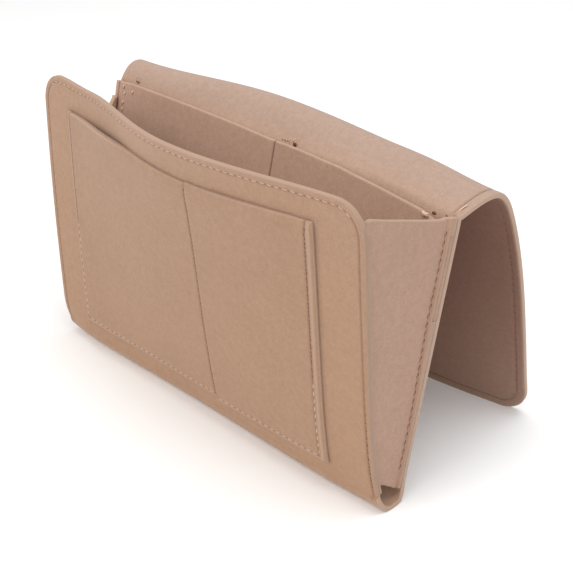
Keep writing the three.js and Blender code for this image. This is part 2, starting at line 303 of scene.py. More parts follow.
# Grids
def graded(stops, coarse):
    """Places along a line: the given ones, with even steps no longer than coarse between them."""
    out = [stops[0]]
    for a, b in zip(stops, stops[1:]):
        n = max(1, math.ceil((b - a) / coarse - 1e-6))
        out += list(np.linspace(a, b, n + 1)[1:])
    return np.array(out)


EDGE = [0, 0.25, 0.7, 1.4, 2.2, 2.9, 3.45, 4.0, 4.55, 5.1, 5.8, 6.6, 7.6]


def round_half(distance):
    """Half the felt's thickness at a distance from its cut edge, which is slightly rounded."""
    t = clip(distance / 0.9)
    return FELT / 2 * (0.74 + 0.26 * np.sqrt(1 - (1 - t) ** 2))


def groove(distance, depth=0.42, width=0.75):
    """Felt drawn down along a seam."""
    return -depth * hump(distance, width)


def normals_of(grid):
    """Unit normals of a grid of points (columns, rows, 3), to the left of its columns."""
    du = np.gradient(grid, axis=0)
    dv = np.gradient(grid, axis=1)
    n = np.cross(du, dv)
    return n / np.maximum(np.linalg.norm(n, axis=-1, keepdims=True), 1e-9)


MATERIALS = {}


def placed(name, data):
    """A new object in the scene."""
    thing = bpy.data.objects.new(name, data)
    bpy.context.scene.collection.objects.link(thing)
    return thing


def mesh_piece(name, points, faces, marks=None, sharp=None):
    """A smooth mesh. marks are its numbers per point, by the name that the material reads;
    rest is the point's own place."""
    mesh = bpy.data.meshes.new(name)
    mesh.from_pydata(points.tolist(), [], faces)
    mesh.update()
    mesh.polygons.foreach_set("use_smooth", [True] * len(mesh.polygons))
    for key, values in {"rest": points, **(marks or {})}.items():
        values = np.asarray(values, np.float32)
        kind, field = ("FLOAT", "value") if values.ndim == 1 else ("FLOAT_VECTOR", "vector")
        mark = mesh.attributes.new(key, kind, "POINT")
        mark.data.foreach_set(field, values.ravel())
    if sharp is not None:
        flags = mesh.attributes.new("sharp_edge", "BOOLEAN", "EDGE")
        ends = np.empty(len(mesh.edges) * 2, int)
        mesh.edges.foreach_get("vertices", ends)
        flags.data.foreach_set("value", sharp[ends].reshape(-1, 2).all(axis=1))
    return placed(name, mesh)


def sheet_piece(name, mid, normal, half_out, half_in, marks, seam_rows=(False, False), flip=False):
    """A closed felt sheet. half_out and half_in are its thicknesses to both sides of mid.

    marks are given once for both faces, or as a pair. seam_rows says which of the first and
    last row meets another piece of the same sheet.
    """
    ni, nj = mid.shape[:2]
    out = mid + normal * half_out[..., None]
    into = mid - normal * half_in[..., None]
    points = np.concatenate([out.reshape(-1, 3), into.reshape(-1, 3)])
    points[:, 2] = np.maximum(points[:, 2], FOOT)
    points = row(points)
    i, j = np.meshgrid(np.arange(ni - 1), np.arange(nj - 1), indexing="ij")
    a = (i * nj + j).ravel()
    b, c, d = a + nj, a + nj + 1, a + 1
    base = ni * nj
    top = np.stack([a, b, c, d], axis=1)
    low = np.stack([a, d, c, b], axis=1) + base
    jj, ii = np.arange(nj - 1), np.arange(ni - 1)
    rims = [
        np.stack([jj, jj + 1, jj + 1 + base, jj + base], axis=1),
        np.stack([jj + base, jj + 1 + base, jj + 1, jj], axis=1) + (ni - 1) * nj,
        np.stack([ii * nj + base, (ii + 1) * nj + base, (ii + 1) * nj, ii * nj], axis=1),
        np.stack([ii * nj, (ii + 1) * nj, (ii + 1) * nj + base, ii * nj + base], axis=1) + nj - 1,
    ]
    faces = np.concatenate([top, low, *rims])
    if flip:
        faces = faces[:, ::-1]
    sharp = np.zeros(2 * base, bool)
    for flag, column in zip(seam_rows, (0, nj - 1)):
        if flag:
            for side in (0, base):
                sharp[np.arange(ni) * nj + column + side] = True
    both = {}
    for key, value in marks.items():
        pair = value if isinstance(value, tuple) else (value, value)
        both[key] = np.concatenate([v.reshape(base, *v.shape[2:]) for v in pair])
    piece = mesh_piece(name, points, faces.tolist(), both, sharp if sharp.any() else None)
    piece.data.materials.append(MATERIALS["felt"])
    return piece


# Materials
def new_material(name):
    material = bpy.data.materials.new(name)
    material.use_nodes = True
    tree = material.node_tree
    return material, tree, tree.nodes["Principled BSDF"]


def put(node, values):
    """Sets a node's inputs by their names."""
    for name, value in values.items():
        node.inputs[name].default_value = value


def mixed(tree, kind, factor, a, b, blend_type="MIX"):
    """A mix node; factor, a and b are sockets or plain values."""
    node = tree.nodes.new("ShaderNodeMix")
    node.data_type, node.blend_type = kind, blend_type
    for name, value in (("Factor", factor), ("A", a), ("B", b)):
        socket = next(i for i in node.inputs if i.name == name and i.enabled)
        if isinstance(value, bpy.types.NodeSocket):
            tree.links.new(value, socket)
        else:
            socket.default_value = value
    return next(o for o in node.outputs if o.enabled)


def attribute(tree, name):
    node = tree.nodes.new("ShaderNodeAttribute")
    node.attribute_name = name
    return node


def noise(tree, vector, scale, detail, roughness=0.5, distortion=0.0):
    node = tree.nodes.new("ShaderNodeTexNoise")
    put(node, {"Scale": scale, "Detail": detail})
    put(node, {"Roughness": roughness, "Distortion": distortion})
    tree.links.new(vector, node.inputs["Vector"])
    return node.outputs["Fac"]


def bump(tree, height, strength, distance, normal=None):
    node = tree.nodes.new("ShaderNodeBump")
    put(node, {"Strength": strength, "Distance": distance})
    tree.links.new(height, node.inputs["Height"])
    if normal is not None:
        tree.links.new(normal, node.inputs["Normal"])
    return node.outputs["Normal"]


def ramped(tree, value, low, high, start=0.0, end=1.0):
    """A colour that goes from low to high as a value goes from start to end."""
    ramp = tree.nodes.new("ShaderNodeValToRGB")
    for stop, place, colour in zip(ramp.color_ramp.elements, (start, end), (low, high)):
        stop.position, stop.color = place, (*colour, 1)
    tree.links.new(value, ramp.inputs["Fac"])
    return ramp.outputs["Color"]


def felt_material(name, dark, light, cut, pressed):
    """Pressed felt: fibres and clumps, a tint by place that paints light and shade, a cut colour
    that paints a highlight on the main felt's cut edges, and darker seam lines of pressed felt and
    painted shade.
    """
    material, tree, shader = new_material(name)
    rest = attribute(tree, "rest").outputs["Vector"]
    fibre = noise(tree, rest, 900, 5, 0.65, 0.6)
    clumps = noise(tree, rest, 260, 3)
    cloud = noise(tree, rest, 26, 3)
    tone = mixed(tree, "FLOAT", 0.3, fibre, clumps)
    tone = mixed(tree, "FLOAT", 0.12, tone, cloud)
    colour = ramped(tree, tone, dark, light, 0.38, 0.62)
    # The tint paints light and shade by place; the cut colour goes on the cut edges, where on the
    # main felt it is a painted highlight; the seam colour is pressed felt with painted shade.
    tint = attribute(tree, "tint").outputs["Vector"]
    colour = mixed(tree, "RGBA", 1.0, colour, tint, "MULTIPLY")
    colour = mixed(tree, "RGBA", attribute(tree, "edge").outputs["Fac"], colour, (*cut, 1))
    colour = mixed(tree, "RGBA", attribute(tree, "seam").outputs["Fac"], colour, (*pressed, 1))
    tree.links.new(colour, shader.inputs["Base Color"])
    rough = bump(tree, clumps, 0.25, 0.0006)
    tree.links.new(bump(tree, fibre, 0.3, 0.0003, rough), shader.inputs["Normal"])
    put(shader, {"Roughness": 0.95, "Specular IOR Level": 0.2})
    put(shader, {"Sheen Weight": 0.2, "Sheen Roughness": 0.6})
    return material


def srgb(r, g, b):
    def one(v):
        v /= 255
        return v / 12.92 if v <= 0.04045 else ((v + 0.055) / 1.055) ** 2.4

    return one(r), one(g), one(b)


# Main felt: the lighter cut colour is a painted highlight on its cut edges, and the pressed colour
# darkens seams as pressed felt and painted shade.
MATERIALS["felt"] = felt_material(
    "beige_felt", dark=srgb(164, 134, 114), light=srgb(180, 149, 129),
    cut=srgb(186, 156, 135), pressed=srgb(124, 92, 73),
)
# Gusset felt: a copy of the same felt, pinker as painted light where light falls on the gussets'
# sides, with browner cut edges.
MATERIALS["gusset"] = felt_material(
    "gusset_felt_painted_light", dark=srgb(172, 137, 117), light=srgb(188, 152, 131),
    cut=srgb(176, 144, 122), pressed=srgb(124, 92, 75),
)
# Tints of painted light and shade by place: a warmer, dimmer light on the front, strongest low
# down, painted shade under the flap, painted light inside the compartment, and a cooler painted
# light on top of the flap
PAINTED_WARM_LIGHT = np.array([0.955, 0.852, 0.695])
SHADED = np.array([0.64, 0.48, 0.46])
PAINTED_INNER_LIGHT = np.array([1.19, 1.17, 1.18])
PAINTED_COOL_LIGHT = np.array([0.97, 1.01, 1.08])


def tinted(colour, share):
    """A tint of a share of a colour; share is one number per place."""
    return 1 + (colour - 1) * np.asarray(share, float)[..., None]


def thread_material(name, colour):
    material, tree, shader = new_material(name)
    rest = attribute(tree, "rest").outputs["Vector"]
    twist = noise(tree, rest, 2500, 2)
    low, high = [c * 0.75 for c in colour], [min(1, c * 1.15) for c in colour]
    tree.links.new(ramped(tree, twist, low, high), shader.inputs["Base Color"])
    tree.links.new(bump(tree, twist, 0.3, 0.0002), shader.inputs["Normal"])
    put(shader, {"Roughness": 0.85, "Specular IOR Level": 0.1})
    return material


MATERIALS["thread"] = thread_material("sewing_thread", srgb(218, 189, 167))
# Painted shade: a darker copy of the thread for runs in shade, needle holes dark with the shade in
# them, and tack dimples darker as pressed felt and painted shade.
MATERIALS["thread_in_shade"] = thread_material("sewing_thread_painted_shade", srgb(160, 126, 104))
MATERIALS["hole"] = thread_material("needle_hole_painted_shade", srgb(110, 77, 58))
MATERIALS["press"] = thread_material("pressed_felt_and_painted_shade", srgb(146, 116, 101))


# Main sheet: one grid down the front wall, round the fold, up the back wall and over the flap
edge_x = [HALF - e for e in EDGE + [9, 10.5, 12.5, 14.5, 17, 20]]
main_x = graded([-v for v in edge_x] + [POCKET_DIVIDER] + edge_x[::-1], 4.0)
rows_edge = EDGE + [9]
SEAM_LENGTH = 14.0

front_top = rim_length(main_x) - corner_cut(main_x)
front_rows = [front_top - e for e in rows_edge]
front_rows += [(front_top - rows_edge[-1]) * (1 - s) for s in graded([0, 1], 1 / 44)[1:]]
front_l = np.stack(front_rows, axis=1)
X = main_x[:, None]
front_mid = front_wall(X, front_l)
fold_turns = np.linspace(np.pi, 2 * np.pi - LEAN, 27)[1:]
fold_mid = fold(X, fold_turns[None, :])
low_back = np.linspace(0, SEAM_LENGTH, 5)[1:]
low_mid = back_wall(X, np.broadcast_to(low_back[None, :], (len(main_x), len(low_back))))
back_share = np.linspace(0, 1, 34)[1:]
back_l = SEAM_LENGTH + (back_height(main_x)[:, None] - SEAM_LENGTH) * back_share[None, :]
back_mid = back_wall(X, back_l)
crest_t = np.linspace(0, 1, 45)[1:]
crest_mid = crest(X, crest_t[None, :])
tail_full = tail_length(main_x)
tail_end = tail_full - corner_cut(main_x)
tail_rows = [(tail_end - rows_edge[-1]) * s for s in graded([0, 1], 1 / 36)[1:]]
tail_rows += [tail_end - e for e in rows_edge[::-1][1:]]
tail_l = np.stack(tail_rows, axis=1)
_table, _t = lengths_of(tail, main_x)
tail_t = np.stack([np.interp(tail_l[i], _table[i], _t) for i in range(len(main_x))])
tail_mid = tail(X, tail_t)
main_mid = np.concatenate([front_mid, fold_mid, low_mid, back_mid, crest_mid, tail_mid], axis=1)
main_normal = normals_of(main_mid)
counts = [a.shape[1] for a in (front_mid, fold_mid, low_mid, back_mid, crest_mid, tail_mid)]
starts = np.cumsum([0] + counts)

# Distance from the cut edge at each place of the main sheet
WALL_SEAM, FLAP_SEAM = 4.0, 6.0
side = HALF - np.abs(X)


def front_inset(x, length):
    """How far the side seams of the front wall lie from its edge."""
    return WALL_SEAM - 1.1 * (x > 0) * smooth(150 - length, 0, 110)


def corner_distance(x, from_end):
    """Distance from the outline beside a rounded end, with from_end counted from the uncut end."""
    radius = np.where(x > 0, CORNER_RIGHT, CORNER_LEFT)
    qx, ql = np.abs(x) - (HALF - radius), radius - from_end
    inside = np.minimum(HALF - np.abs(x), from_end)
    return np.where((qx > 0) & (ql > 0), radius - np.hypot(qx, ql), inside)


distance = np.broadcast_to(side, main_mid.shape[:2]).copy()
distance[:, : starts[1]] = corner_distance(X, rim_length(X) - front_l)
distance[:, starts[5] :] = corner_distance(X, tail_full[:, None] - tail_l)
distance = np.maximum(distance, 0)
# The seam near the edge, the felt pressed thin beside it, and the groove that it draws
row_index = np.arange(main_mid.shape[1])
on_flap_row = row_index >= starts[4]
seam_inset = np.where(on_flap_row, FLAP_SEAM, WALL_SEAM) + 0 * distance
seam_inset[:, : starts[1]] = front_inset(X, front_l)
half_out = round_half(distance)
half_in = half_out.copy()
pressed = 1.1 * (X > 0) * hump(side, 3.0) * smooth(rim_length(X) - front_l, 0, 30)
half_in[:, : starts[1]] -= pressed
seamed = np.ones(len(row_index))
seamed[starts[1] + 2 : starts[3] - 2] = 0
dip = groove(distance - seam_inset) * seamed
# On the left of the flap's top no seam shows
plain = 1 - (X < 0) * on_flap_row * (1 - smooth(row_index, starts[5] - 8, starts[5] + 4))


# Share of the cut colour along a cut edge, a painted highlight on the main felt and the front
# pocket.
def edge_mark(distance):
    return hump(distance, 0.45)


# Share of the darkening along a seam: pressed felt and painted shade.
def seam_mark(distance):
    return 0.7 * hump(distance, 0.6)


# Shares of the painted tints: the warm front light grows towards the bottom and fades round the
# fold, the painted shade under the flap grows over the bend and fades towards the hem, the painted
# light lies on the back wall in the compartment, and the cool light lies on top of the flap.
warm_light_share = np.zeros(distance.shape)
warm_light_share[:, : starts[1]] = np.linspace(0.55, 1.0, counts[0])
warm_light_share[:, starts[1] : starts[2]] = np.linspace(1.0, 0.0, counts[1])
shaded = np.zeros(distance.shape)
shaded[:, starts[4] : starts[5]] = smooth(np.arange(counts[4]), 0, 12)
shaded[:, starts[5] :] = 1 - 0.85 * np.linspace(0, 1, counts[5]) ** 1.3
within = (row_index > starts[2]) & (row_index < starts[4] - 3) & (distance >= 0)
cool_light_share = smooth(row_index - starts[4], -2, 6) + 0 * distance
# Painted shadow: a darker line on the front wall around the front pocket, but not along its flat
# top on the right
past = np.maximum(np.maximum(POCKET_LEFT - X, X - POCKET_RIGHT), front_l - pocket_top(X))
past = np.maximum(past, pocket_low(X) - front_l)
flat_top = smooth(X, -60, -38) * (front_l > pocket_top(X) - 1)
pocket_contact_shadow = np.zeros(distance.shape)
pocket_contact_shadow[:, : starts[1]] = 0.3 * hump(np.maximum(past, 0), 2.0) * (past > -3) * (1 - flat_top)
# Painted shade: a darker line along the front wall's cut rim, joined to the seam darkening of
# pressed felt and painted shade.
rim = 0.32 * hump(distance, 0.5) * (row_index < starts[1])
seam = np.maximum(seam_mark(distance - seam_inset) * seamed, rim)
# Marks of the main sheet's two faces: in the compartment or on top, and outside or below
main_marks = {
    # Painted highlight on the cut edges; darker seams of pressed felt and painted shade, with the
    # painted shadow round the front pocket on the outside.
    "edge": (edge_mark(distance), edge_mark(distance)),
    "seam": (seam * plain, np.maximum(seam, pocket_contact_shadow)),
    # Painted light and shade: warm front light, light in the compartment and cool light on top on
    # one face; warm front light and shade under the flap on the other.
    "tint": (
        tinted(PAINTED_WARM_LIGHT, warm_light_share) * tinted(PAINTED_INNER_LIGHT, within) * tinted(PAINTED_COOL_LIGHT, cool_light_share),
        tinted(PAINTED_WARM_LIGHT, warm_light_share) * tinted(SHADED, shaded * smooth(distance, 0.4, 2.6)),
    ),
}

cut_low = starts[3] - 1
cut_high = starts[4] + counts[4] // 2


def slice_piece(name, a, b, seams):
    s = slice(a, b + 1)
    return sheet_piece(
        name, main_mid[:, s], main_normal[:, s], half_out[:, s] + (dip * plain)[:, s],
        half_in[:, s] + dip[:, s],
        {key: tuple(v[:, s] for v in pair) for key, pair in main_marks.items()}, seams,
    )


front_sheet = slice_piece("felt_front_and_fold", 0, cut_low, (False, True))
back_sheet = slice_piece("felt_back_wall", cut_low, cut_high, (True, True))
flap_sheet = slice_piece("felt_flap_end", cut_high, main_mid.shape[1] - 1, (True, False))

# The place across each hinge from one body to the next, at the flap's bend and at its crease, with
# a direction square to its axis
bend_mid = back_wall(0.0, back_height(0.0))
bend_way = heading(52.0)
bend_way[0] = 0.0196 * bend_way[2] + 0.0053 * bend_way[1]
crease_mid = crease_line(0.0)
crease_way = heading(-80.0)
crease_way[0] = -(crease_way[1] * 0.0592 + crease_way[2] * -0.0607)


def blend(piece):
    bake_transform(piece)


blend(front_sheet)
blend(back_sheet)
blend(flap_sheet)


# Pocket sheets
def cell_swell(x, seams, share, rise=0.36):
    """How far each pocket stands out between two seams, from 0 to 1."""
    out = np.zeros(np.broadcast(x, share).shape)
    for a, b in zip(seams, seams[1:]):
        place = clip((x - a) / (b - a))
        inside = (x > a) & (x < b)
        bulge = smooth(np.minimum(place, 1 - place) / rise) * np.sin(np.pi / 2 * clip(share))
        out = np.where(inside, bulge, out)
    return out


LEFT_SEAM, RIGHT_SEAM, LOW_SEAM = 4.1, 4.9, 4.1


def pocket_share(x, length):
    """How far up the pocket a place lies, from its lower seam to its top edge."""
    low = pocket_low(x) + LOW_SEAM
    return clip((length - low) / (pocket_top(x) - low))


def pocket_gape(x, length):
    """How far the mouth of the left cell stands open."""
    mouth = np.cos(np.pi / 2 * clip(np.abs(x + 74) / 44)) ** 2
    return 1.9 * mouth * pocket_share(x, length) ** 4


def pocket_offset(x, length):
    """How far the pocket's middle lies off the middle of the front wall."""
    seams = [POCKET_LEFT + LEFT_SEAM, POCKET_DIVIDER, POCKET_RIGHT - RIGHT_SEAM]
    sides = np.minimum(np.minimum(x - POCKET_LEFT, POCKET_RIGHT - x), length - pocket_low(x))
    drawn = 0.8 * hump(np.maximum(sides, 0), 3.2)
    drawn = np.maximum(drawn, 0.7 * hump(pocket_top(x) - length, 6) * smooth(x, -60, -35))
    swell = 0.4 * cell_swell(x, seams, pocket_share(x, length))
    return FELT + 0.1 - drawn + swell + pocket_gape(x, length)


def outward_front(x, length):
    """The front wall's normal, away from the compartment."""
    e = 0.4
    xa, xb = np.minimum(x + e, HALF), np.maximum(x - e, -HALF)
    du = front_wall(xa, length) - front_wall(xb, length)
    dv = front_wall(x, length + e) - front_wall(x, length - e)
    return unit(np.cross(du, dv))


def pocket_mid(x, length):
    x, length = spread_out(x, length)
    return front_wall(x, length) + outward_front(x, length) * pocket_offset(x, length)[..., None]


SIDE = [0, 0.25, 0.7, 1.4, 2.2, 2.9, 3.5, 4.0, 4.3, 4.6, 5.1, 5.8, 6.8, 8.5]
TOPS = [0, 0.25, 0.7, 1.4, 2.4, 4]
BESIDE = (-2.4, -1.2, -0.5, 0, 0.5, 1.2, 2.4)


def sewn_places(left, right, divider, low, top, steps):
    """Places across and along a pocket sheet, close together at its edges and its divider."""
    x = graded(
        [left + s for s in SIDE] + [divider + s for s in BESIDE] + [right - s for s in SIDE[::-1]],
        4.0,
    )
    rows = [low(x) + s for s in SIDE]
    span = top(x) - TOPS[-1] - rows[-1]
    rows += [rows[-1] + span * s for s in graded([0, 1], 1 / steps)[1:]]
    rows += [top(x) - s for s in TOPS[::-1][1:]]
    return x[:, None], np.stack(rows, axis=1)


def to_edges(x, length, left, right, low, top):
    """Distances from a pocket sheet's nearer side, its lower edge and its top edge."""
    return np.minimum(x - left, right - x), length - low(x), top(x) - length


POCKET = (POCKET_LEFT, POCKET_RIGHT)
PX, pocket_l = sewn_places(*POCKET, POCKET_DIVIDER, pocket_low, pocket_top, 38)
pocket_grid = pocket_mid(PX, pocket_l)
pocket_normal = normals_of(pocket_grid)
to_side, to_low, to_top = to_edges(PX, pocket_l, *POCKET, pocket_low, pocket_top)
pocket_edge = np.minimum(np.minimum(to_side, to_low), to_top)
pocket_half = round_half(pocket_edge)
from_sides = np.minimum(to_side, to_low)
pocket_ridge = hump(from_sides, 1.1, 2.5)
pocket_pressed = 0.95 * hump(from_sides, 1.6) - 0.4 * pocket_ridge
pocket_pressed = np.maximum(pocket_pressed, 0.9 * hump(to_top, 3) * smooth(PX, -60, -35))
beside = np.minimum(PX - POCKET_LEFT - LEFT_SEAM, POCKET_RIGHT - RIGHT_SEAM - PX)
pocket_dip = groove(np.minimum(beside, to_low - LOW_SEAM), 0.55, 0.7)
pocket_dip = np.minimum(pocket_dip, groove(PX - POCKET_DIVIDER, 0.55, 0.7) * (to_low > LOW_SEAM))
pocket_sheet = sheet_piece(
    "felt_front_pocket", pocket_grid, pocket_normal,
    pocket_half + pocket_dip - pocket_pressed,
    pocket_offset(PX, pocket_l) - pocket_gape(PX, pocket_l) - FELT / 2 + 0.1,
    {
        # Painted highlight on the cut edges and on the ridge beside the seams; grooves darker as
        # pressed felt and painted shade; the tint paints the warm front light, stronger low down,
        # and a little shade over the whole pocket.
        "edge": np.maximum(0.8 * edge_mark(pocket_edge), 0.7 * pocket_ridge),
        "seam": np.clip(-pocket_dip / 0.55, 0, 1) * 0.6,
        "tint": 0.955 * tinted(PAINTED_WARM_LIGHT, np.linspace(1, 0.6, pocket_grid.shape[1]) + 0 * pocket_edge),
    },
)
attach(pocket_sheet, "front_wall")


# Inner pocket outline: lengths along the back wall at its top edge
INNER_X = [-160, -141, -122, -90, -69, -48, -27, -7, 6, 26, 39, 57, 67, 79, 89, 100, 116]
INNER_X += [136, 146, 160]
INNER_L = [180.4, 181.3, 181.2, 180.9, 180.5, 179.9, 179.3, 178.1, 177.5, 177.4, 177.1]
INNER_L += [176.1, 175.8, 174.5, 173.6, 172.5, 170.7, 168.2, 164.8, 161.5]


def inner_top(x):
    return np.interp(x, INNER_X, INNER_L)


def inner_low(x):
    return INNER_BOTTOM + 0 * x


INNER_SEAM = 4.0
forward = np.array([0, -math.cos(LEAN), math.sin(LEAN)])


def inner_mid(x, length):
    x, length = spread_out(x, length)
    seams = [INNER_LEFT + INNER_SEAM, INNER_DIVIDER, INNER_RIGHT - INNER_SEAM]
    low = INNER_BOTTOM + INNER_SEAM
    share = (length - low) / (inner_top(x) - low)
    offset = FELT + 0.1 + 0.9 * cell_swell(x, seams, share)
    return back_wall(x, length) + forward * offset[..., None]


INNER = (INNER_LEFT, INNER_RIGHT)
IX, inner_l = sewn_places(*INNER, INNER_DIVIDER, inner_low, inner_top, 16)
inner_grid = inner_mid(IX, inner_l)
inner_normal = normals_of(inner_grid)
to_side, to_low, to_top = to_edges(IX, inner_l, *INNER, inner_low, inner_top)
inner_edge = np.minimum(np.minimum(to_side, to_low), to_top)
inner_dip = np.minimum(
    groove(np.minimum(to_side, to_low) - INNER_SEAM, 0.4, 0.7),
    groove(IX - INNER_DIVIDER, 0.75, 0.5) * (to_low > INNER_SEAM),
)
inner_half = round_half(inner_edge)
inner_sheet = sheet_piece(
    "felt_inner_pocket", inner_grid, inner_normal, inner_half + inner_dip, inner_half,
    {
        # No highlight on its cut edges; its grooves are darker as pressed felt and painted shade,
        # with a little painted shade along its cut edges and painted light from the compartment
        # tint.
        "edge": 0 * inner_edge,
        "seam": np.maximum(np.clip(-inner_dip / 0.5, 0, 1), 0.2 * edge_mark(inner_edge)),
        "tint": tinted(PAINTED_INNER_LIGHT, 1 + 0 * inner_edge),
    },
)
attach(inner_sheet, "body")


# Gussets: a flange on the front wall, a bend, a web, a bend and a flange on the back layers
STEP_LOW = back_wall(0.0, INNER_BOTTOM)[2] + 1.5
STEP_HIGH = back_wall(0.0, inner_top(HALF))[2] + 0.3


def behind_front(x, z, offset):
    """The place at a height that lies an offset behind the front wall's middle."""
    length = z - FOLD_RADIUS
    for _ in range(4):
        place = front_wall(x, length) - outward_front(x, length) * offset[..., None]
        length = length + z - place[..., 2]
    return place


def layers_at(z):
    """Felt layers between a gusset's flange and the back wall's middle: one, then two."""
    return 1 + clip((z - STEP_LOW) / 60 + 1)


def before_back(x, z, offset):
    """The place at a height that lies an offset before the back wall's layers."""
    layers = layers_at(z)
    reach = layers * (FELT + 0.1) + offset
    length = (z - FOLD_RADIUS + (FOLD_MID - reach) * math.sin(LEAN)) / math.cos(LEAN)
    return back_wall(x, length) + forward * reach[..., None]


FLANGE_EDGE = np.array([0, 0.25, 0.7, 1.2, 1.7])
GUSSET_TOP = 185.0


def gusset_piece(name, sign, bow, sag, back_top):
    """A gusset from station to station along its width: (x, off the wall, share of the way)."""
    turns = np.linspace(0, np.pi / 2, 7)
    flange = [(HALF - e, 0.0) for e in FLANGE_EDGE]
    flange += [(WEB_X + BEND - BEND * math.sin(a), BEND * (1 - math.cos(a))) for a in turns]
    stations = [(x, off, 0.0) for x, off in flange]
    shares = (0.02, 0.05, 0.09, 0.13, *np.linspace(0.17, 0.96, 20))
    stations += [(WEB_X, BEND, s) for s in shares]
    stations += [(x, off, 1.0) for x, off in flange[::-1]]
    columns, wedges = [], []
    for x, off, share in stations:
        slack = math.sqrt(max(0, math.sin(math.pi * share)))
        top = FOLD_RADIUS + mix(GUSSET_TOP, back_top, share) - sag * slack
        cut = 1.5 * (1 - float(smooth(share, 0, 0.05)))
        if share == 0:
            cut += 7 * clip((x - (HALF - FLANGE)) / FLANGE) ** 2
        bottom = FOLD_RADIUS + (4.5 - 8.5 * share) * float(smooth(share, 0, 0.06))
        zs = np.concatenate([
            bottom + np.array([0, 0.25, 0.7, 1.4]),
            np.linspace(bottom + 3, STEP_LOW - 0.05, 34),
            np.linspace(STEP_LOW + 0.05, STEP_HIGH - 0.05, 18),
            np.linspace(STEP_HIGH + 0.05, top - cut - 3, 8),
            top - cut - np.array([1.4, 0.7, 0.25, 0]),
        ])
        xs, offset = np.full(zs.shape, sign * x), np.full(zs.shape, off)
        front = behind_front(xs, zs, offset + FELT + 0.1)
        back = before_back(xs, zs, offset)
        high = clip((zs - FOLD_RADIUS) / GUSSET_TOP)
        inward = bow * high * math.sin(math.pi * share) ** 2
        place = mix(front, back, share)
        place[:, 0] = sign * (x - inward) - (1.2 * (1 - share) if sign > 0 else 0)
        columns.append(place)
        open_gap = (zs < STEP_LOW) | ((zs > STEP_HIGH) & (sign > 0))
        wedges.append((layers_at(zs) - 1) * FELT * (open_gap & (share == 1 and x > 157.5)))
    mid = np.stack(columns)
    normal = normals_of(mid) * sign
    rank = np.arange(mid.shape[1])
    ends = np.minimum(rank, rank[::-1])
    from_ends = np.array([0, 0.25, 0.7, 1.4, 3])[np.minimum(ends, 4)][None, :]
    from_sides = np.full(len(stations), 9.0)
    from_sides[:5] = FLANGE_EDGE
    from_sides[-5:] = FLANGE_EDGE[::-1]
    edge = np.minimum(from_ends, from_sides[:, None])
    # The edge mark gives the gusset's cut edges a browner colour.
    marks = {"edge": edge_mark(edge), "seam": 0 * edge, "tint": np.ones((*edge.shape, 3))}
    thin = 0.9 * hump(HALF - np.array([x for x, _, _ in stations]), 2.0)
    half_out = round_half(edge) - thin[:, None]
    half_in = round_half(edge) + np.stack(wedges)
    piece = sheet_piece(name, mid, normal, half_out, half_in, marks, flip=sign < 0)
    # The gussets take the copy of the felt that paints the light falling on their sides.
    piece.data.materials[0] = MATERIALS["gusset"]
    return piece


left_gusset = gusset_piece("felt_gusset_left", -1, bow=13.0, sag=13.0, back_top=162.0)
right_gusset = gusset_piece("felt_gusset_right", 1, bow=2.0, sag=2.5, back_top=163.2)
# For each gusset, a direction that leans like the middle of its wedge, and the gusset baked in
# place
for piece, degrees, reach in ((left_gusset, 9.3, 29), (right_gusset, 6.2, 33)):
    slab = heading(180.0 - degrees)
    blend(piece)


# Seams: each stitch is a short thread that dips into the felt at both ends
THREAD = 0.34
STITCH = 5.5


def resampled(points, values, places):
    """The values that belong to a line's points, at lengths along that line."""
    steps = np.linalg.norm(np.diff(points, axis=0), axis=1)
    along_it = np.concatenate([[0], np.cumsum(steps)])
    return np.stack([np.interp(places, along_it, values[:, k]) for k in range(3)], axis=1)


def tube(points, normals, radii, sides=6):
    """Points and faces of a closed tube along a line."""
    way = unit(np.gradient(points, axis=0))
    across_it = unit(np.cross(way, normals))
    over = np.cross(across_it, way)
    angles = np.linspace(0, 2 * np.pi, sides, endpoint=False)
    ring = np.cos(angles)[:, None] * across_it[:, None] + np.sin(angles)[:, None] * over[:, None]
    verts = (points[:, None] + ring * np.asarray(radii)[:, None, None]).reshape(-1, 3)
    last = len(verts) - sides
    faces = [
        (i + j, i + k, i + k + sides, i + j + sides)
        for i in range(0, last, sides) for j, k in zip(range(sides), [*range(1, sides), 0])
    ]
    return verts, faces + [tuple(range(sides))[::-1], tuple(range(last, len(verts)))]


def joined(parts):
    verts, faces, base = [], [], 0
    for v, f in parts:
        verts.append(v)
        faces += [tuple(base + k for k in face) for face in f]
        base += len(v)
    return np.concatenate(verts), faces


